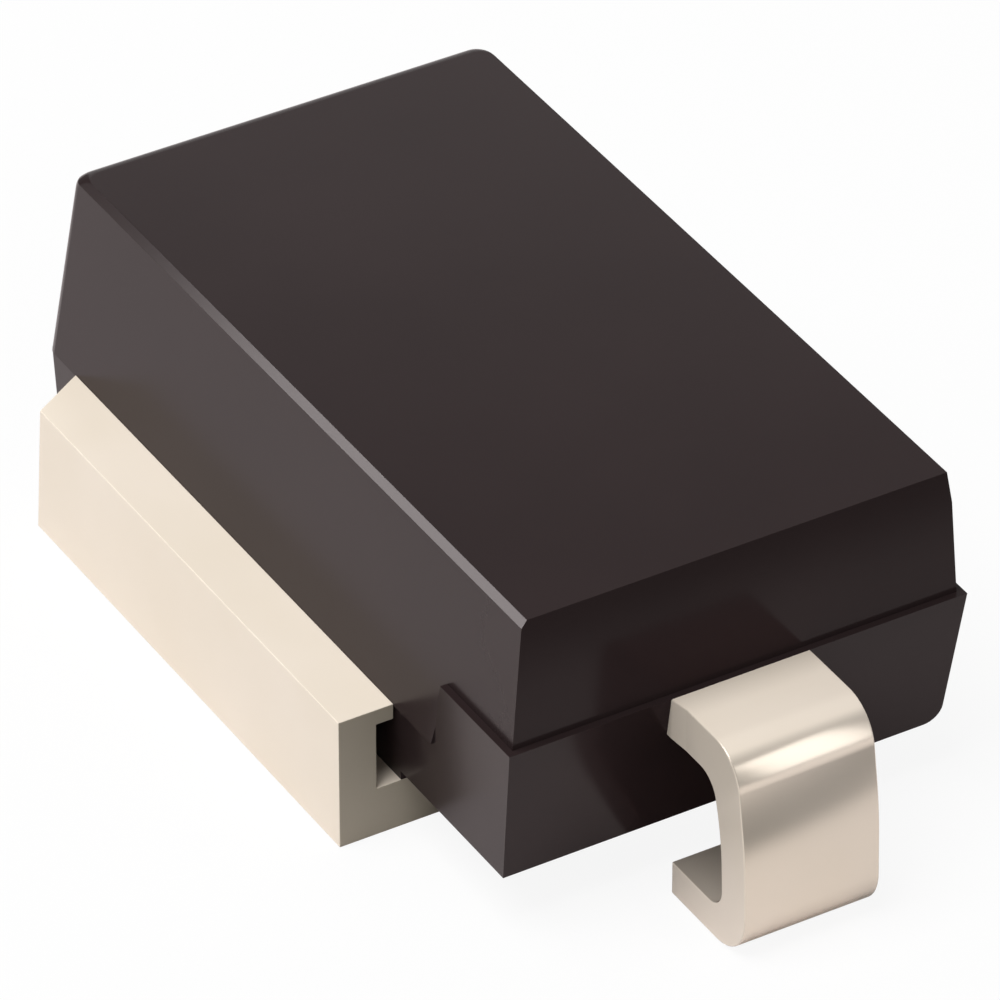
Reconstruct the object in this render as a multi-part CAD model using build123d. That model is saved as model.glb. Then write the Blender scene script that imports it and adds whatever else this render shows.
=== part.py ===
from build123d import *
import os

# Surface mount load dump suppressor diode, millimetres, +Z up.
# X runs along the body and points to the end with the bent lead.
# Z = 0 is the circuit board, and the origin lies under the middle of the moulded body.

# Moulded body, upper half
body_length = 13.7          # over the parting line, from back to front
body_width = 7.58           # the same, across the lower half's rim
body_top_z = 5.6
top_back_inset = 0.53       # insets are measured inwards from the body's length and width
top_front_inset = 0.13
top_side_inset = 0.275
upper_front_inset = 0.11    # foot of the upper front face, at the lead's level
side_slope = 0.075          # how far the upper sides lean out for each mm down
back_corner_radius = 0.24
top_back_radius = 0.25
left_edge_cut_width = 0.08  # flat cut along the left top edge, across and down
left_edge_cut_height = 0.12
right_edge_cut_width = 0.06
right_edge_cut_height = 0.55

# Moulded body, lower half
bottom_front_inset = 0.42
bottom_back_inset = 0.02
bottom_side_inset = 0.14
underside_z = 0.99          # underside ahead of the heat sink; behind that the body reaches its plate
skirt_overhang = 0.01       # the skirt at the back stands out past the lower half by this much
lower_right_edge_radius = 0.28
lower_corner_radius = 0.12

# Parting line: high at the lead, then a slanting step down to the heat sink's lips
lead_parting_z = 3.44
skirt_drop = 0.025          # the skirt's rim lies this far under the top of the lips
step_setback = 1.92         # top of the step, behind the body's front
step_run = 0.30

# Heat sink: one plate with two walls, each with a thin lip turned in against the body
plate_thickness = 0.83
sink_length = 9.50
sink_width = 9.34
sink_setback = 0.92         # rear edge, ahead of the body's back
wall_height = 2.235
wall_thickness = 0.62
lip_thickness = 0.265
corner_cut_length = 0.55    # slanted cut across each rear corner, along the wall
corner_cut_depth = 0.88     # the same cut, across the wall
rear_lean = 0.20            # the sheared rear end stands this much further back at the bottom
sink_edge_radius = 0.06

# Lead: one strip, flattened to a pad on the die inside and bent to a foot outside
lead_width = 2.24
lead_root_thickness = 0.70
lead_leg_thickness = 0.64
lead_foot_thickness = 0.56
lead_rise = 0.04            # the strip's top outside lies this far over the parting line
shoulder_reach = 1.73       # outer face at the top of the leg, ahead of the body
ankle_reach = 2.00          # outer face at the bottom of the leg
foot_tip_reach = 0.02
shoulder_radius = 0.74
ankle_radius = 0.74
shoulder_inner_radius = 0.48
ankle_inner_radius = 0.34
root_flare = 0.03           # added to each side of the strip where it leaves the body
root_flare_length = 0.35

# Silicon die, its two solder layers and the pad on it
die_side = 5.80
die_thickness = 0.34
die_shift = 0.215           # the die sits this far ahead of the heat sink's middle
solder_thickness = 0.05
solder_margin = 0.15        # the upper solder stops this far inside the die's edge
pad_side = 4.60
pad_thickness = 0.50
strap_offset = 0.85         # from the pad's front edge to where the strap starts to climb
strap_rise_run = 2.25       # length over which it climbs to the lead's level

# Ends and sides of the body
front_x = body_length / 2
back_x = -body_length / 2
top_back_x = back_x + top_back_inset
top_front_x = front_x - top_front_inset
upper_front_x = front_x - upper_front_inset
bottom_front_x = front_x - bottom_front_inset
bottom_back_x = back_x + bottom_back_inset
lower_half_width = body_width / 2
top_half_width = lower_half_width - top_side_inset
bottom_half_width = lower_half_width - bottom_side_inset
top_depth = body_top_z - lead_parting_z
skirt_z = wall_height - skirt_drop
step_top_x = front_x - step_setback

# Ends and sides of the heat sink, whose lips end at the body's sloped sides
sink_back_x = back_x + sink_setback
sink_front_x = sink_back_x + sink_length
sink_half_width = sink_width / 2
side_at_lip = top_half_width + side_slope * (body_top_z - wall_height)

# Outline of the lead
lead_shoulder_x = front_x + shoulder_reach
lead_ankle_x = front_x + ankle_reach
foot_tip_x = front_x + foot_tip_reach
lead_top_z = lead_parting_z + lead_rise
root_under_z = lead_parting_z - lead_root_thickness

# Stack on the plate, from the lower solder up to the pad
die_centre_x = (sink_back_x + sink_front_x) / 2 + die_shift
lower_solder_z = plate_thickness
die_z = lower_solder_z + solder_thickness
upper_solder_z = die_z + die_thickness
pad_z = upper_solder_z + solder_thickness
pad_top_z = pad_z + pad_thickness
strap_foot_x = die_centre_x + pad_side / 2 + strap_offset
strap_head_x = strap_foot_x + strap_rise_run


def rectangle_at(x_back, x_front, half_width, z):
    """Flat rectangle from its ends, its half width and its height."""
    middle = (x_back + x_front) / 2
    with BuildSketch(Plane.XY.offset(z)) as sketch:
        with Locations((middle, 0)):
            Rectangle(x_front - x_back, 2 * half_width)
    return sketch.sketch


def side_profile(points, half_width):
    """Solid with the given X-Z outline, as wide as asked on both sides of the middle."""
    with BuildPart() as slab:
        with BuildSketch(Plane.XZ):
            with BuildLine():
                Polyline(*points, close=True)
            make_face()
        extrude(amount=half_width, both=True)
    return slab.part


def block(x_back, x_front, half_width, z_low, z_high):
    """Plain block between two ends and two heights."""
    return extrude(rectangle_at(x_back, x_front, half_width, z_low), amount=z_high - z_low)


def parting_region():
    """Everything above the stepped parting line."""
    far = 2 * body_length
    step_foot_x = step_top_x - step_run
    outline = [
        (-far, skirt_z),
        (step_foot_x, skirt_z),
        (step_top_x, lead_parting_z),
        (far, lead_parting_z),
        (far, far),
        (-far, far),
    ]
    return side_profile(outline, far)


def near(edge, axis, value, span=0.02):
    """True where the whole edge lies at one value of an axis."""
    box = edge.bounding_box()
    low = getattr(box.min, axis)
    high = getattr(box.max, axis)
    return abs(low - value) < span and abs(high - value) < span


def edge_cutter(side, width, height):
    """Long wedge that takes a flat cut off one of the two long top edges."""
    far = body_width
    edge = top_half_width - width
    foot = top_half_width + side_slope * height
    outline = [
        (side * edge, body_top_z),
        (side * edge, far),
        (side * far, far),
        (side * far, body_top_z - height),
        (side * foot, body_top_z - height),
    ]
    with BuildPart() as wedge:
        with BuildSketch(Plane.YZ):
            with BuildLine():
                Polyline(*outline, close=True)
            make_face()
        extrude(amount=body_length, both=True)
    return wedge.part


def upper_half():
    """Upper mould half: sloped sides and back, a steep front and flat cuts along the top's sides."""
    drop = body_top_z - skirt_z
    front_lean = (upper_front_x - top_front_x) / top_depth
    lower_edge = rectangle_at(
        back_x,
        top_front_x + front_lean * drop,
        top_half_width + side_slope * drop,
        skirt_z,
    )
    upper_edge = rectangle_at(top_back_x, top_front_x, top_half_width, body_top_z)
    solid = loft([lower_edge, upper_edge])
    rear_rim = [
        e for e in solid.edges()
        if near(e, "Z", body_top_z) and near(e, "X", top_back_x)
    ]
    solid = fillet(rear_rim, top_back_radius)
    corners = [
        e for e in solid.edges()
        if e.bounding_box().max.X < 0 and e.bounding_box().size.Z > drop / 2
    ]
    solid = fillet(corners, back_corner_radius)
    solid = solid - edge_cutter(-1, left_edge_cut_width, left_edge_cut_height)
    return solid - edge_cutter(1, right_edge_cut_width, right_edge_cut_height)


def lower_half():
    """Lower mould half: drawn in towards the underside, which is higher ahead of the plate."""
    rise = lead_parting_z - plate_thickness
    back_at_skirt = back_x + skirt_overhang
    back_lean = (bottom_back_x - back_at_skirt) / (skirt_z - plate_thickness)
    lower_edge = rectangle_at(bottom_back_x, bottom_front_x, bottom_half_width, plate_thickness)
    upper_edge = rectangle_at(
        bottom_back_x - back_lean * rise, front_x, lower_half_width, lead_parting_z
    )
    solid = loft([lower_edge, upper_edge])
    solid = solid - block(sink_front_x, body_length, body_width, 0, underside_z)
    right_rim = [
        e for e in solid.edges()
        if near(e, "Z", underside_z) and e.center().Y > 0 and e.bounding_box().size.Y < 0.01
    ]
    solid = fillet(right_rim, lower_right_edge_radius)
    corners = [
        e for e in solid.edges()
        if e.bounding_box().max.X < 0 and e.bounding_box().size.Z > rise / 2
    ]
    return fillet(corners, lower_corner_radius)


def sink_plan(rear_x, z):
    """Plan of the heat sink at one height, with its rear corners cut off at a slant."""
    cut_start = sink_half_width - corner_cut_depth
    outline = [
        (sink_front_x, -sink_half_width),
        (sink_front_x, sink_half_width),
        (rear_x + corner_cut_length, sink_half_width),
        (rear_x, cut_start),
        (rear_x, -cut_start),
        (rear_x + corner_cut_length, -sink_half_width),
    ]
    with BuildSketch(Plane.XY.offset(z)) as sketch:
        with BuildLine():
            Polyline(*outline, close=True)
        make_face()
    return sketch.sketch


def heat_sink():
    """Channel with inward lips, sheared at the back on a slight slant."""
    inner = sink_half_width - wall_thickness
    rim = side_at_lip
    under_lip = wall_height - lip_thickness
    right = [
        (sink_half_width, 0),
        (sink_half_width, wall_height),
        (rim, wall_height),
        (rim, under_lip),
        (inner, under_lip),
        (inner, plate_thickness),
    ]
    left = [(-y, z) for y, z in reversed(right)]
    rear_at_bottom = sink_back_x - rear_lean
    with BuildPart() as channel:
        with BuildSketch(Plane.YZ.offset(rear_at_bottom)):
            with BuildLine():
                Polyline(*right, *left, close=True)
            make_face()
        extrude(amount=sink_front_x - rear_at_bottom)
    solid = channel.part & loft([sink_plan(rear_at_bottom, 0), sink_plan(sink_back_x, wall_height)])
    long_edges = [
        e for e in solid.edges().filter_by(Axis.X)
        if abs(abs(e.center().Y) - sink_half_width) < 0.01
    ]
    return fillet(long_edges, sink_edge_radius)


def lead_outer():
    """Bent strip outside the body, with a bend radius inside and outside each corner."""
    corners = [
        (upper_front_x, lead_parting_z),
        (front_x, lead_parting_z),
        (front_x + root_flare_length, lead_top_z),
        (lead_shoulder_x, lead_top_z),
        (lead_ankle_x, 0),
        (foot_tip_x, 0),
        (foot_tip_x, lead_foot_thickness),
        (lead_ankle_x - lead_leg_thickness, lead_foot_thickness),
        (lead_shoulder_x - lead_leg_thickness, root_under_z),
        (strap_head_x, root_under_z),
        (strap_head_x, lead_parting_z),
    ]
    radii = {3: shoulder_radius, 4: ankle_radius, 7: ankle_inner_radius, 8: shoulder_inner_radius}
    with BuildPart() as strip:
        with BuildSketch(Plane.XZ) as outline:
            with BuildLine():
                Polyline(*corners, close=True)
            make_face()
            for number, radius in radii.items():
                place = Vector(*corners[number])
                nearest = min(outline.vertices(), key=lambda v: (Vector(v) - place).length)
                fillet(nearest, radius)
        extrude(amount=lead_width / 2, both=True)
    return strip.part


def lead_flare():
    """Slight swelling of the strip where it leaves the moulding."""
    middle_z = lead_parting_z - lead_root_thickness / 2
    with BuildPart() as flare:
        with BuildSketch(Plane.YZ.offset(upper_front_x)):
            with Locations((0, middle_z - root_flare / 2)):
                Rectangle(lead_width + 2 * root_flare, lead_root_thickness + root_flare)
        with BuildSketch(Plane.YZ.offset(front_x + root_flare_length)):
            with Locations((0, middle_z)):
                Rectangle(lead_width, lead_root_thickness)
        loft()
    return flare.part


def lead_inner():
    """Pad on the die and the strap that climbs from it to the lead's level."""
    pad = block(
        die_centre_x - pad_side / 2, die_centre_x + pad_side / 2, pad_side / 2, pad_z, pad_top_z
    )
    strap = side_profile(
        [
            (die_centre_x, pad_z),
            (strap_foot_x, pad_z),
            (strap_head_x, root_under_z),
            (strap_head_x, lead_parting_z),
            (strap_foot_x - pad_thickness / 2, pad_top_z),
            (die_centre_x, pad_top_z),
        ],
        lead_width / 2,
    )
    return pad + strap


# Heat sink, die and solder
sink = heat_sink()
half_die = die_side / 2
half_solder = half_die - solder_margin
die = block(die_centre_x - half_die, die_centre_x + half_die, half_die, die_z, upper_solder_z)
solder_under = block(
    die_centre_x - half_die, die_centre_x + half_die, half_die, lower_solder_z, die_z
)
solder_over = block(
    die_centre_x - half_solder, die_centre_x + half_solder, half_solder, upper_solder_z, pad_z
)

# Lead, from the pad on the die to the foot on the board
lead = lead_outer() + lead_flare() + lead_inner()

# Moulded body, cast around all of these
upper = upper_half() & parting_region()
lower = lower_half() - parting_region()
body = upper + lower
for insert in (sink, lead, die, solder_under, solder_over):
    body = body - insert

nodes = {
    "moulded_body": body,
    "heat_sink": sink,
    "bent_lead": lead,
    "silicon_die": die,
    "solder_under_die": solder_under,
    "solder_over_die": solder_over,
}
os.makedirs("parts", exist_ok=True)
for name, solid in nodes.items():
    export_step(solid, f"parts/{name}.step")
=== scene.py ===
import math

import bmesh
import bpy
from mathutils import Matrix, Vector


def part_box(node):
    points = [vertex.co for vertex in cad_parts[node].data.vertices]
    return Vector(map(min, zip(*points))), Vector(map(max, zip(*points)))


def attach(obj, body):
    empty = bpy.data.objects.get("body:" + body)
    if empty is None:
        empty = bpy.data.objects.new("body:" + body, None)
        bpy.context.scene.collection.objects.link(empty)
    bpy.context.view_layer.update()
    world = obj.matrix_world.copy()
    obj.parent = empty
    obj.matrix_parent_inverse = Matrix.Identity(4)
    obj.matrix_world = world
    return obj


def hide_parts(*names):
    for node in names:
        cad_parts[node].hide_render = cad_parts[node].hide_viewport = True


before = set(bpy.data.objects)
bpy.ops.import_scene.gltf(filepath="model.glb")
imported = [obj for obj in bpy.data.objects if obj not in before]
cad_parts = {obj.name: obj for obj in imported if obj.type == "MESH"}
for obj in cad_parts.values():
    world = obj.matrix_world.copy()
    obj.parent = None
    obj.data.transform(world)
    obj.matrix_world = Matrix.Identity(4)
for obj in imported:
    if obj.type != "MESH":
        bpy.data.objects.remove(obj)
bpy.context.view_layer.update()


# Heat sink: one copper channel under the body, folded and coined in a press, then plated with tin.
# Its plate is soldered to the board. Each side wall ends in a thin lip that is turned in against
# the moulding, and its rear corners are sheared off at a slant.

MM = 0.001
sink_low, sink_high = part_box("heat_sink")
sink_back = sink_low[0]
sink_front, sink_side, sink_top = sink_high
plate_thickness = 0.83 * MM
wall_thickness = 0.62 * MM
lip_thickness = 0.265 * MM
lip_width = 0.903 * MM
corner_cut_length = 0.55 * MM
rear_lean = 0.20 * MM
sink_edge_round = 0.012 * MM
wall_inside = sink_side - wall_thickness
lip_edge = sink_side - lip_width
lip_under = sink_top - lip_thickness


def piece_from(mesh_name, vertices, faces):
    """Mesh object from corner points in metres and faces, with its normals turned outwards."""
    mesh = bpy.data.meshes.new(mesh_name)
    shell = bmesh.new()
    corners = [shell.verts.new(point) for point in vertices]
    for face in faces:
        shell.faces.new([corners[number] for number in face])
    bmesh.ops.recalc_face_normals(shell, faces=shell.faces)
    shell.to_mesh(mesh)
    shell.free()
    piece = bpy.data.objects.new(mesh_name, mesh)
    bpy.context.scene.collection.objects.link(piece)
    return piece


def ring_faces(first, size):
    """Faces between the ring of points that starts at a number and the ring that follows it."""
    faces = []
    for i in range(size):
        j = (i + 1) % size
        faces.append((first + i, first + j, first + size + j, first + size + i))
    return faces


def soften_edges(piece, width, segments=3, angle=30):
    """Small round on every edge that turns by more than the angle, in degrees."""
    bevel = piece.modifiers.new("edge_round", "BEVEL")
    bevel.width = width
    bevel.segments = segments
    bevel.limit_method = "ANGLE"
    bevel.angle_limit = math.radians(angle)
    bevel.use_clamp_overlap = True


def rear_edge_of_sink(y, z):
    """Where the sink ends at the back: slanted behind each lip, and leaning out to the bottom."""
    into_cut = max(0.0, abs(y) - lip_edge) / lip_width
    return sink_back + corner_cut_length * into_cut + rear_lean * z / sink_top


half_section = [
    (lip_edge, 0),
    (sink_side, 0),
    (sink_side, sink_top),
    (lip_edge, sink_top),
    (lip_edge, lip_under),
    (wall_inside, lip_under),
    (wall_inside, plate_thickness),
    (lip_edge, plate_thickness),
]
section = half_section + [(-y, z) for y, z in reversed(half_section)]
half = len(half_section)
count = len(section)
sink_points = [(sink_front, y, z) for y, z in section]
sink_points += [(rear_edge_of_sink(y, z), y, z) for y, z in section]
sink_faces = ring_faces(0, count)
sink_faces.append(tuple(range(count)))
# The rear end has a slanted face behind each wall, and one between them behind the plate.
sink_faces.append(tuple(range(count, count + half)))
sink_faces.append(tuple(range(count + half, 2 * count)))
sink_faces.append((count + half - 1, count + half, 2 * count - 1, count))
heat_sink = piece_from("heat_sink_channel", sink_points, sink_faces)
soften_edges(heat_sink, sink_edge_round)


def add_node(tree, kind, inputs, **settings):
    """Shader node with its settings made, and each input joined to an output or given a value."""
    made = tree.nodes.new("ShaderNode" + kind)
    for name, value in settings.items():
        setattr(made, name, value)
    for name, value in inputs.items():
        if isinstance(value, bpy.types.NodeSocket):
            tree.links.new(value, made.inputs[name])
        else:
            made.inputs[name].default_value = value
    return made


def tone_ramp(tree, share, stops):
    """Colour that runs through stops, each of them a position and a colour."""
    ramp = add_node(tree, "ValToRGB", {"Fac": share})
    elements = ramp.color_ramp.elements
    for number, (position, colour) in enumerate(stops):
        stop = elements[number] if number < 2 else elements.new(position)
        stop.position = position
        stop.color = (*colour, 1)
    return ramp.outputs["Color"]


def clouded_finish(name, scale, detail, stops):
    """Material whose colour drifts between two stops in soft clouds."""
    material = bpy.data.materials.new(name)
    material.use_nodes = True
    tree = material.node_tree
    place = add_node(tree, "TexCoord", {}, name="place")
    cloud = add_node(tree, "TexNoise", {
        "Vector": place.outputs["Object"],
        "Scale": scale,
        "Detail": detail,
    }, name="cloud")
    tone = tone_ramp(tree, cloud.outputs["Fac"], stops)
    tree.links.new(tone, tree.nodes["Principled BSDF"].inputs["Base Color"])
    return material


def paint_over(material, share, colour):
    """Lays a colour over the one that a material has, by a share that one of its nodes gives."""
    tree = material.node_tree
    base = tree.nodes["Principled BSDF"].inputs["Base Color"]
    mix = add_node(tree, "Mix", {
        "Factor": share,
        "A": base.links[0].from_socket,
        "B": (*colour, 1),
    }, data_type="RGBA")
    tree.links.new(mix.outputs["Result"], base)


def tin_plate(name, warm, light, metallic, roughness):
    """Dull tin over copper: cloudy in tone, and a little rougher where it is lighter."""
    material = clouded_finish(name, scale=420, detail=2, stops=[(0.30, warm), (0.68, light)])
    tree = material.node_tree
    shader = tree.nodes["Principled BSDF"]
    shader.inputs["Metallic"].default_value = metallic
    gloss = add_node(tree, "MapRange", {
        "Value": tree.nodes["cloud"].outputs["Fac"],
        "To Min": roughness - 0.03,
        "To Max": roughness + 0.04,
    })
    tree.links.new(gloss.outputs["Result"], shader.inputs["Roughness"])
    return material


def darken_front_end(material, colour):
    """Darker colour on the front end: partly the end sheared through its plating, and partly painted shade,
    as the forward-facing end catches less light.
    """
    tree = material.node_tree
    facing = add_node(tree, "SeparateXYZ", {"Vector": tree.nodes["place"].outputs["Normal"]})
    endwise = add_node(tree, "MapRange", {
        "Value": facing.outputs["X"],
        "From Min": 0.55,
        "From Max": 0.95,
    })
    paint_over(material, endwise.outputs["Result"], colour)


sink_finish = tin_plate(
    "tin_on_channel",
    warm=(0.88, 0.78, 0.65),
    light=(0.91, 0.81, 0.69),
    metallic=0.06,
    roughness=0.50,
)
# Painted shade and shear: the forward-facing sheared front end is coloured darker.
darken_front_end(sink_finish, (0.43, 0.38, 0.30))
heat_sink.data.materials.append(sink_finish)
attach(heat_sink, "root")
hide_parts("heat_sink")


# Chip and its two solder layers: a square of silicon soldered flat on the plate, and the lead's pad
# soldered on top of it. All three are sealed inside the moulding, so they keep their plain shapes.


def sealed_finish(name, dark, light, metallic, roughness, scale):
    """Evenly mottled material, for a piece that the moulding hides."""
    material = clouded_finish(name, scale, detail=2, stops=[(0, dark), (1, light)])
    shader = material.node_tree.nodes["Principled BSDF"]
    shader.inputs["Metallic"].default_value = metallic
    shader.inputs["Roughness"].default_value = roughness
    return material


solder_finish = sealed_finish(
    "solder_layer",
    dark=(0.42, 0.42, 0.43),
    light=(0.62, 0.62, 0.62),
    metallic=1.0,
    roughness=0.5,
    scale=1500,
)
silicon_finish = sealed_finish(
    "silicon_chip",
    dark=(0.07, 0.075, 0.09),
    light=(0.12, 0.125, 0.14),
    metallic=0.6,
    roughness=0.25,
    scale=600,
)
sealed_pieces = {
    "solder_under_die": solder_finish,
    "silicon_die": silicon_finish,
    "solder_over_die": solder_finish,
}
for node, finish in sealed_pieces.items():
    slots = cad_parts[node].data.materials
    slots.clear()
    slots.append(finish)


# Bent lead: one strip of copper, plated like the heat sink. From the pad on the chip it climbs to the
# parting line, leaves the moulding with a slight swelling, bends down and then back under itself to
# the foot that is soldered to the board.

lead_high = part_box("bent_lead")[1]
lead_top = lead_high[2]
body_low, body_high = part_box("moulded_body")
die_low, die_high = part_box("silicon_die")
body_front = body_high[0]
lead_rise = 0.04 * MM
root_thickness = 0.70 * MM
leg_thickness = 0.64 * MM
foot_thickness = 0.56 * MM
lead_half_width = 1.12 * MM
lead_line = lead_top - lead_rise
root_under = lead_line - root_thickness

root_swelling = 0.03 * MM
hidden_gap = 0.004 * MM
swelling_start = body_front - 0.11 * MM
swelling_end = body_front + 0.35 * MM

ankle = body_front + 2.00 * MM
foot_tip = body_front + 0.02 * MM
shoulder_outside = ankle - 0.32 * MM
shoulder_inside = ankle - leg_thickness - 0.30 * MM
shoulder_radius = 0.70 * MM
shoulder_inner_radius = 0.44 * MM
ankle_radius = 0.74 * MM
ankle_inner_radius = 0.34 * MM
# The leg bows a little. Each bow is a corner of its line: x, z and the radius of the arc.
bow_outside = (ankle - 0.06 * MM, 1.90 * MM, 7.0 * MM)
bow_inside = (ankle - leg_thickness - 0.05 * MM, 1.80 * MM, 4.5 * MM)

pad_half = 2.30 * MM
pad_thickness = 0.50 * MM
solder_thickness = 0.05 * MM
pad_bottom = die_high[2] + solder_thickness
pad_top = pad_bottom + pad_thickness
pad_middle = (die_low[0] + die_high[0]) / 2
strap_foot = pad_middle + pad_half + 0.85 * MM
strap_head = strap_foot + 2.25 * MM
strap_top_setback = 0.25 * MM

lead_edge_round = 0.022 * MM
rubbed_from = body_front + 1.40 * MM
rubbed_over = 0.20 * MM
foot_height = 1.3 * MM


def rounded_line(corners, steps=14):
    """Points along a line of (x, z, radius) corners, each corner with a radius turned into an arc."""
    line = []
    for number, (x, z, radius) in enumerate(corners):
        corner = Vector((x, z))
        if radius == 0:
            line.append(corner)
            continue
        before = (Vector(corners[number - 1][:2]) - corner).normalized()
        after = (Vector(corners[number + 1][:2]) - corner).normalized()
        half_angle = before.angle(after) / 2
        centre = corner + (before + after).normalized() * radius / math.sin(half_angle)
        start = corner + before * radius / math.tan(half_angle) - centre
        end = corner + after * radius / math.tan(half_angle) - centre
        turn = math.atan2(start.x * end.y - start.y * end.x, start.dot(end))
        for step in range(steps + 1):
            angle = turn * step / steps
            spoke = Vector((
                start.x * math.cos(angle) - start.y * math.sin(angle),
                start.x * math.sin(angle) + start.y * math.cos(angle),
            ))
            line.append(centre + spoke)
    return line


outer_line = rounded_line([
    (pad_middle, pad_top, 0),
    (strap_foot - strap_top_setback, pad_top, 0),
    (strap_head, lead_line, 0),
    (swelling_start, lead_line - hidden_gap, 0),
    (body_front, lead_line - hidden_gap, 0),
    (swelling_end, lead_top, 0),
    (shoulder_outside, lead_top, shoulder_radius),
    bow_outside,
    (ankle, 0, ankle_radius),
    (foot_tip, 0, 0),
])
inner_line = rounded_line([
    (pad_middle, pad_bottom, 0),
    (strap_foot, pad_bottom, 0),
    (strap_head, root_under, 0),
    (swelling_start, root_under, 0),
    (body_front, root_under, 0),
    (swelling_end, root_under, 0),
    (shoulder_inside, root_under, shoulder_inner_radius),
    bow_inside,
    (ankle - leg_thickness, foot_thickness, ankle_inner_radius),
    (foot_tip, foot_thickness, 0),
])
# These points of the two lines are at the swelling.
swollen_points = (3, 4)
lead_points = []
for number, (outer, inner) in enumerate(zip(outer_line, inner_line)):
    side = lead_half_width
    if number in swollen_points:
        side += root_swelling
    lead_points += [
        (outer.x, -side, outer.y),
        (outer.x, side, outer.y),
        (inner.x, side, inner.y),
        (inner.x, -side, inner.y),
    ]
last = len(lead_points) - 4
lead_faces = [(0, 1, 2, 3), (last, last + 1, last + 2, last + 3)]
for start in range(0, last, 4):
    lead_faces += ring_faces(start, 4)

pad_base = len(lead_points)
for z in (pad_bottom, pad_top):
    for x, y in ((-1, -1), (1, -1), (1, 1), (-1, 1)):
        lead_points.append((pad_middle + x * pad_half, y * pad_half, z))
pad_bottom_face = tuple(range(pad_base, pad_base + 4))
pad_top_face = tuple(range(pad_base + 4, pad_base + 8))
lead_faces += [pad_bottom_face, pad_top_face] + ring_faces(pad_base, 4)

bent_lead = piece_from("bent_lead_strip", lead_points, lead_faces)
# The bends are smooth. The strip's two edges and its ends stay flat.
for face in bent_lead.data.polygons:
    face.use_smooth = abs(face.normal.y) < 0.5 and face.normal.x > -0.9999
soften_edges(bent_lead, lead_edge_round)


def brighten_rubbed_tin(material, dull):
    """Keeps the metal where tools rubbed the tin, past the shoulder and at the foot, and dulls the rest."""
    tree = material.node_tree
    metallic = tree.nodes["Principled BSDF"].inputs["Metallic"]
    place = tree.nodes["place"]
    where = add_node(tree, "SeparateXYZ", {"Vector": place.outputs["Object"]})
    bend = add_node(tree, "MapRange", {
        "Value": where.outputs["X"],
        "From Min": rubbed_from,
        "From Max": rubbed_from + rubbed_over,
    }, interpolation_type="SMOOTHSTEP")
    foot = add_node(tree, "Math", {0: where.outputs["Z"], 1: foot_height}, operation="LESS_THAN")
    pressed = add_node(tree, "Math", {
        0: bend.outputs["Result"],
        1: foot.outputs["Value"],
    }, operation="MAXIMUM")
    facing = add_node(tree, "SeparateXYZ", {"Vector": place.outputs["Normal"]})
    edgewise = add_node(tree, "Math", {0: facing.outputs["Y"]}, operation="ABSOLUTE")
    flat = add_node(tree, "MapRange", {
        "Value": edgewise.outputs["Value"],
        "From Min": 0.4,
        "From Max": 0.9,
        "To Min": 1,
        "To Max": 0,
    })
    rubbed = add_node(tree, "Math", {
        0: pressed.outputs["Value"],
        1: flat.outputs["Result"],
    }, operation="MULTIPLY")
    metal = add_node(tree, "MapRange", {
        "Value": rubbed.outputs["Value"],
        "To Min": dull,
        "To Max": metallic.default_value,
    })
    tree.links.new(metal.outputs["Result"], metallic)


def paint_dark_reflection(material, colour):
    """Painted reflection: a dark colour that only glossy rays see, for the image of the lead in the glossy
    moulding, and for nothing seen directly.
    """
    ray = add_node(material.node_tree, "LightPath", {})
    paint_over(material, ray.outputs["Is Glossy Ray"], colour)


lead_finish = tin_plate(
    "tin_on_lead",
    warm=(0.85, 0.75, 0.63),
    light=(0.88, 0.78, 0.67),
    metallic=0.64,
    roughness=0.20,
)
brighten_rubbed_tin(lead_finish, dull=0.12)
# Painted reflection: the lead's image in the moulding is painted dark.
paint_dark_reflection(lead_finish, (0.22, 0.11, 0.11))
bent_lead.data.materials.append(lead_finish)
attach(bent_lead, "root")
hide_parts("bent_lead")


# Moulded body: black epoxy cast in a two-part mould around the chip, the pad and the top of the plate.
# The upper half is drawn inwards to the top, the lower half inwards to the underside. The line where
# the mould parted is high at the lead and steps down to the lips of the heat sink.

body_back = body_low[0]
body_top = body_high[2]
body_under = body_low[2]
rim_half_width = 3.79 * MM
top_half_width = rim_half_width - 0.275 * MM
under_half_width = rim_half_width - 0.14 * MM
front_underside = 0.99 * MM
skirt_drop = 0.025 * MM
skirt_rim = sink_top - skirt_drop
step_top = body_front - 1.92 * MM
step_run = 0.30 * MM

side_slope = 0.075
top_back_inset = 0.53 * MM
top_front_inset = 0.13 * MM
upper_front_inset = 0.11 * MM
under_front_inset = 0.42 * MM
under_back_inset = 0.02 * MM
skirt_overhang = 0.01 * MM

rear_corner_radius = 0.24 * MM
lower_corner_radius = 0.12 * MM
top_back_radius = 0.25 * MM
lower_right_radius = 0.28 * MM
# Flat cuts along the two long top edges: across the top, and down the side.
left_cut = (0.08 * MM, 0.12 * MM)
right_cut = (0.06 * MM, 0.55 * MM)
body_edge_round = 0.010 * MM

quarter_turn = math.pi / 2
arc_steps = 8
cutter_reach = 30 * MM
overshoot = 1 * MM


def between(low, high, share):
    """Value that lies the given share of the way from low to high."""
    return low + (high - low) * share


def curl(depth, radius):
    """How far a rounded edge has drawn in, at a depth below the face that it rolls into."""
    if depth >= radius:
        return 0.0
    return radius - math.sqrt(max(0.0, radius ** 2 - (radius - depth) ** 2))


def ring(z, back, front, left, right, radius, steps=10):
    """One level of the body: a rectangle whose two rear corners are rounded."""
    points = [(front, -left, z)]
    for turn, side in ((0, -1), (1, 1)):
        middle_y = -left + radius if side < 0 else right - radius
        for step in range(steps + 1):
            angle = quarter_turn * (turn + step / steps)
            points.append((
                back + radius - radius * math.sin(angle),
                middle_y - radius * math.cos(angle),
                z,
            ))
    points.append((front, right, z))
    return points


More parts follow.
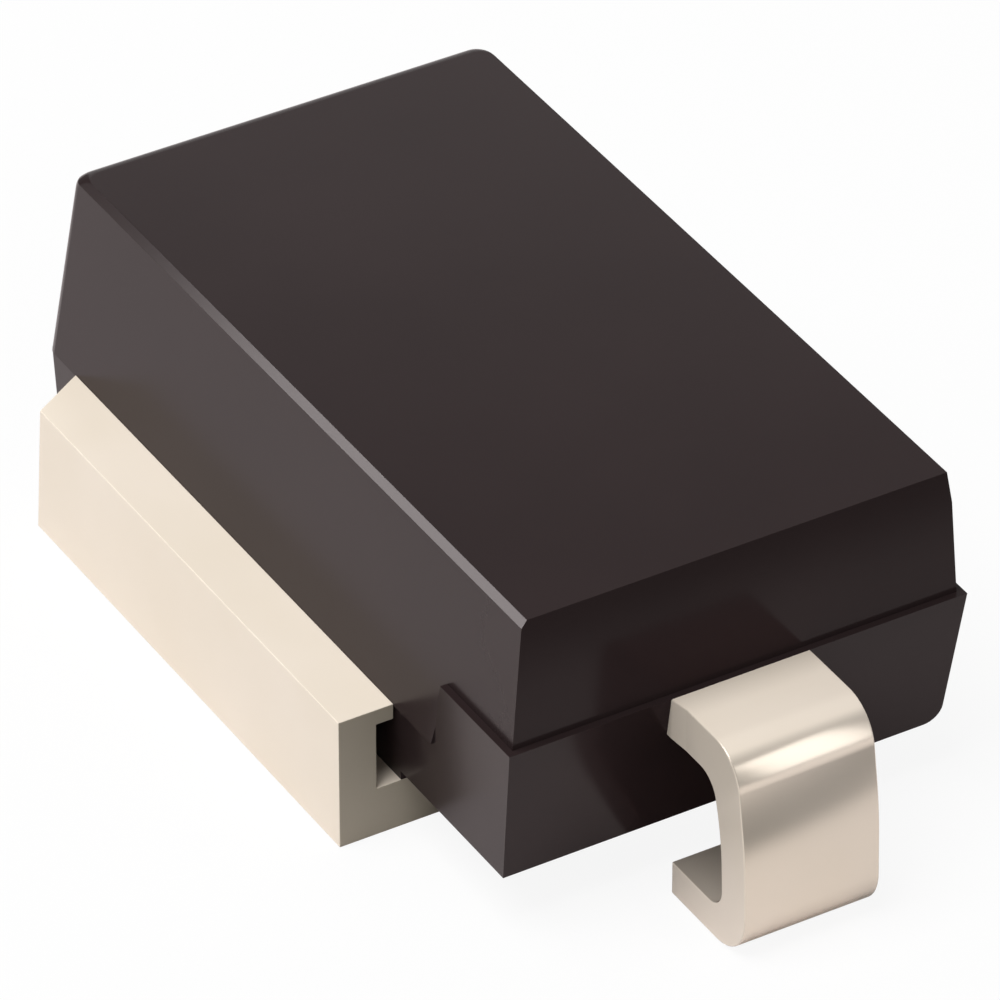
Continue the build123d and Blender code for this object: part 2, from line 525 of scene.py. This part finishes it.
def stacked_shell(name, rings):
    """Closed shell through rings of equal length, one above the other."""
    size = len(rings[0])
    points = [point for level in rings for point in level]
    last_ring = len(points) - size
    faces = [tuple(range(size)), tuple(range(last_ring, len(points)))]
    for first in range(0, last_ring, size):
        faces += ring_faces(first, size)
    return piece_from(name, points, faces)


def wedge(name, outline):
    """Block with the given X-Z outline, wider than the body, that cuts one mould half."""
    points = [(x, side * cutter_reach, z) for side in (-1, 1) for x, z in outline]
    size = len(outline)
    faces = [tuple(range(size)), tuple(range(size, 2 * size))] + ring_faces(0, size)
    return piece_from(name, points, faces)


def cut(piece, cutter):
    """Takes the cutter's space out of the piece and throws the cutter away."""
    change = piece.modifiers.new("cut", "BOOLEAN")
    change.operation = "DIFFERENCE"
    change.solver = "EXACT"
    change.object = cutter
    bpy.context.view_layer.update()
    finished = piece.evaluated_get(bpy.context.evaluated_depsgraph_get())
    result = bpy.data.meshes.new_from_object(finished)
    piece.modifiers.clear()
    piece.data = result
    bpy.data.objects.remove(cutter)


def flat_cut(depth, size):
    """How far the flat cut along a long top edge draws that side in, at a depth below the top."""
    across, down = size
    return across * max(0.0, 1 - depth / down)


upper_height = body_top - skirt_rim
front_lean = (top_front_inset - upper_front_inset) / (body_top - lead_line)
upper_levels = {skirt_rim, body_top, body_top - left_cut[1], body_top - right_cut[1]}
for step in range(arc_steps + 1):
    upper_levels.add(body_top - top_back_radius * (1 - math.sin(quarter_turn * step / arc_steps)))
upper_rings = []
for z in sorted(upper_levels):
    depth = body_top - z
    side = top_half_width + side_slope * depth
    back = between(body_back + top_back_inset, body_back, depth / upper_height)
    upper_rings.append(ring(
        z,
        back + curl(depth, top_back_radius),
        body_front - top_front_inset + front_lean * depth,
        side - flat_cut(depth, left_cut),
        side - flat_cut(depth, right_cut),
        rear_corner_radius,
    ))
upper_half = stacked_shell("moulding_upper", upper_rings)
slant = step_run / (lead_line - skirt_rim)
cut(upper_half, wedge("front_notch", [
    (cutter_reach, skirt_rim - overshoot),
    (cutter_reach, lead_line),
    (step_top, lead_line),
    (step_top - step_run - slant * overshoot, skirt_rim - overshoot),
]))

lower_height = lead_line - body_under
back_lean = (under_back_inset - skirt_overhang) / (skirt_rim - body_under)
lower_levels = {body_under, lead_line}
for step in range(arc_steps + 1):
    lower_levels.add(front_underside + lower_right_radius * (1 - math.cos(quarter_turn * step / arc_steps)))
lower_rings = []
for z in sorted(lower_levels):
    height = z - body_under
    side = between(under_half_width, rim_half_width, height / lower_height)
    lower_rings.append(ring(
        z,
        body_back + under_back_inset - back_lean * height,
        between(body_front - under_front_inset, body_front, height / lower_height),
        side,
        side - curl(max(0.0, z - front_underside), lower_right_radius),
        lower_corner_radius,
    ))
lower_half = stacked_shell("moulding_lower", lower_rings)
cut(lower_half, wedge("rear_notch", [
    (-cutter_reach, skirt_rim),
    (step_top - step_run, skirt_rim),
    (step_top + slant * overshoot, lead_line + overshoot),
    (-cutter_reach, lead_line + overshoot),
]))
cut(lower_half, wedge("front_relief", [
    (sink_front, body_under - overshoot),
    (cutter_reach, body_under - overshoot),
    (cutter_reach, front_underside),
    (sink_front, front_underside),
]))

moulding = bpy.data.meshes.new("moulded_body_casting")
whole = bmesh.new()
for part in (upper_half, lower_half):
    whole.from_mesh(part.data)
    bpy.data.objects.remove(part)
# Only the rounded faces are smooth: the rear corners and rear top edge, and the lower right edge.
# The leaning rear face, whose normal has an X of -0.988, stays flat.
for face in whole.faces:
    rear_round = -0.9865 < face.normal.x < -0.02
    lower_right_round = face.normal.y > 0.05 and -0.98 < face.normal.z < -0.25
    face.smooth = rear_round or lower_right_round
whole.to_mesh(moulding)
whole.free()
moulded_body = bpy.data.objects.new("moulded_body_casting", moulding)
bpy.context.scene.collection.objects.link(moulded_body)
soften_edges(moulded_body, body_edge_round, segments=2, angle=28)


def black_epoxy(name):
    """Black moulding compound: faint clouds and filler grain, smoother on its ends and cut edges."""
    dark = (0.0222, 0.0145, 0.0147)
    light = (0.0258, 0.0168, 0.0170)
    material = clouded_finish(name, scale=260, detail=5, stops=[(0.30, dark), (0.70, light)])
    tree = material.node_tree
    place = tree.nodes["place"]
    shader = tree.nodes["Principled BSDF"]
    shader.inputs["Specular IOR Level"].default_value = 0.14
    shader.inputs["Specular Tint"].default_value = (1.0, 0.88, 0.88, 1)
    unsigned = add_node(tree, "VectorMath", {0: place.outputs["Normal"]}, operation="ABSOLUTE")
    facing = add_node(tree, "SeparateXYZ", {"Vector": unsigned.outputs["Vector"]})
    broadside = add_node(tree, "Math", {
        0: facing.outputs["Y"],
        1: facing.outputs["Z"],
    }, operation="MAXIMUM")
    gloss = add_node(tree, "MapRange", {
        "Value": broadside.outputs["Value"],
        "From Min": 0.86,
        "From Max": 0.96,
        "To Min": 0.15,
        "To Max": 0.24,
    })
    tree.links.new(gloss.outputs["Result"], shader.inputs["Roughness"])
    grain = add_node(tree, "TexNoise", {
        "Vector": place.outputs["Object"],
        "Scale": 14000,
        "Detail": 2,
    })
    relief = add_node(tree, "Bump", {
        "Height": grain.outputs["Fac"],
        "Strength": 0.05,
        "Distance": 0.003 * MM,
    })
    tree.links.new(relief.outputs["Normal"], shader.inputs["Normal"])
    return material


moulded_body.data.materials.append(black_epoxy("black_moulding_compound"))
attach(moulded_body, "root")
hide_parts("moulded_body")


# Bench and light: a plain white sheet in an even white room, and a large soft lamp high up on the side
# of the visible long wall. Three small soft lamps give the cut top edge, the lead's shoulder and the
# rear of the top their sheen, and a painted reflection makes the sheet darker ahead of the lead where the
# part mirrors it.

sheet_reach = 3.0
sheet_tone = (0.55, 0.55, 0.55)
# Painted reflection: the tones in which the part mirrors the sheet, by the distance along X in millimetres.
mirrored_length = 20
painted_reflection_tones = {
    8.0: (0.95, 0.87, 0.87),
    9.2: (0.80, 0.76, 0.75),
    12.0: (0.76, 0.722, 0.7144),
    13.2: (0.05, 0.0475, 0.047),
    16.0: (0.05, 0.0475, 0.047),
    18.6: (0.85, 0.8075, 0.799),
}
white_strength = 1.05
white_share = 0.86
room_strength = 0.20


def white_sheet(name):
    """Paper that looks white to the camera, with a painted reflection: its image in the part changes in
    tone along X.
    """
    material = bpy.data.materials.new(name)
    material.use_nodes = True
    tree = material.node_tree
    paper = tree.nodes["Principled BSDF"]
    paper.inputs["Roughness"].default_value = 0.9
    ray = add_node(tree, "LightPath", {})
    place = add_node(tree, "TexCoord", {})
    where = add_node(tree, "SeparateXYZ", {"Vector": place.outputs["Object"]})
    forward = add_node(tree, "MapRange", {
        "Value": where.outputs["X"],
        "From Max": mirrored_length * MM,
    })
    stops = [(along / mirrored_length, colour) for along, colour in painted_reflection_tones.items()]
    tone = add_node(tree, "Mix", {
        "Factor": ray.outputs["Is Glossy Ray"],
        "A": (*sheet_tone, 1),
        "B": tone_ramp(tree, forward.outputs["Result"], stops),
    }, data_type="RGBA")
    tree.links.new(tone.outputs["Result"], paper.inputs["Base Color"])
    glow = add_node(tree, "Emission", {"Strength": white_strength})
    seen = add_node(tree, "Math", {
        0: ray.outputs["Is Camera Ray"],
        1: ray.outputs["Is Transmission Ray"],
    }, operation="MAXIMUM")
    share = add_node(tree, "Math", {0: seen.outputs["Value"], 1: white_share}, operation="MULTIPLY")
    blend = add_node(tree, "MixShader", {
        "Fac": share.outputs["Value"],
        1: paper.outputs["BSDF"],
        2: glow.outputs["Emission"],
    })
    tree.links.new(blend.outputs["Shader"], tree.nodes["Material Output"].inputs["Surface"])
    return material


corners = [(x * sheet_reach, y * sheet_reach, 0) for x, y in ((-1, -1), (1, -1), (1, 1), (-1, 1))]
floor_mesh = bpy.data.meshes.new("floor")
floor_mesh.from_pydata(corners, [], [(0, 1, 2, 3)])
floor_mesh.materials.append(white_sheet("white_sheet"))
floor = bpy.data.objects.new("floor", floor_mesh)
bpy.context.scene.collection.objects.link(floor)

room = bpy.data.worlds.new("room")
room.use_nodes = True
bpy.context.scene.world = room
air = room.node_tree.nodes["Background"]
air.inputs["Color"].default_value = (1, 1, 1, 1)
air.inputs["Strength"].default_value = room_strength


def soft_lamp(name, place, aim, size, power):
    """Flat lamp at a place in metres, turned towards a point on the part."""
    light = bpy.data.lights.new(name, "AREA")
    light.shape = "RECTANGLE"
    light.size, light.size_y = size
    light.energy = power
    lamp = bpy.data.objects.new(name, light)
    lamp.location = place
    lamp.rotation_euler = (Vector(aim) - Vector(place)).to_track_quat("-Z", "Y").to_euler()
    bpy.context.scene.collection.objects.link(lamp)


soft_lamp(
    "high_lamp",
    place=(0.010, -0.068, 0.177),
    aim=(0, 0, 0.002),
    size=(0.12, 0.12),
    power=0.34,
)
soft_lamp(
    "edge_lamp",
    place=(-0.048, -0.0587, 0.0232),
    aim=(0.004, -0.0035, 0.0055),
    size=(0.020, 0.015),
    power=0.013,
)
soft_lamp(
    "shoulder_lamp",
    place=(0.092, 0.0465, 0.0455),
    aim=(0.008, 0, 0.003),
    size=(0.050, 0.085),
    power=0.020,
)
soft_lamp(
    "rear_lamp",
    place=(-0.056, 0.030, 0.024),
    aim=(0, 0, 0.0056),
    size=(0.044, 0.044),
    power=0.0055,
)


# Camera: stands over the lead's end and the visible long wall, as the photograph does, and looks down
# on the part from a fair distance, so its long edges only draw together a little.

azimuth = math.radians(59.422)
elevation = math.radians(35.728)
distance = 132.189 * MM
aim = Vector((0, 0.105 * MM, 2.182 * MM))
sensor_width = 36
focal_length = 324.02
towards_camera = Vector((
    math.sin(azimuth) * math.cos(elevation),
    -math.cos(azimuth) * math.cos(elevation),
    math.sin(elevation),
))
lens = bpy.data.cameras.new("camera")
lens.sensor_width = sensor_width
lens.lens = focal_length
lens.clip_start = 0.01
camera = bpy.data.objects.new("camera", lens)
camera.location = aim + towards_camera * distance
camera.rotation_euler = (-towards_camera).to_track_quat("-Z", "Y").to_euler()
bpy.context.scene.collection.objects.link(camera)
bpy.context.scene.camera = camera
bpy.context.scene.view_settings.view_transform = "Standard"
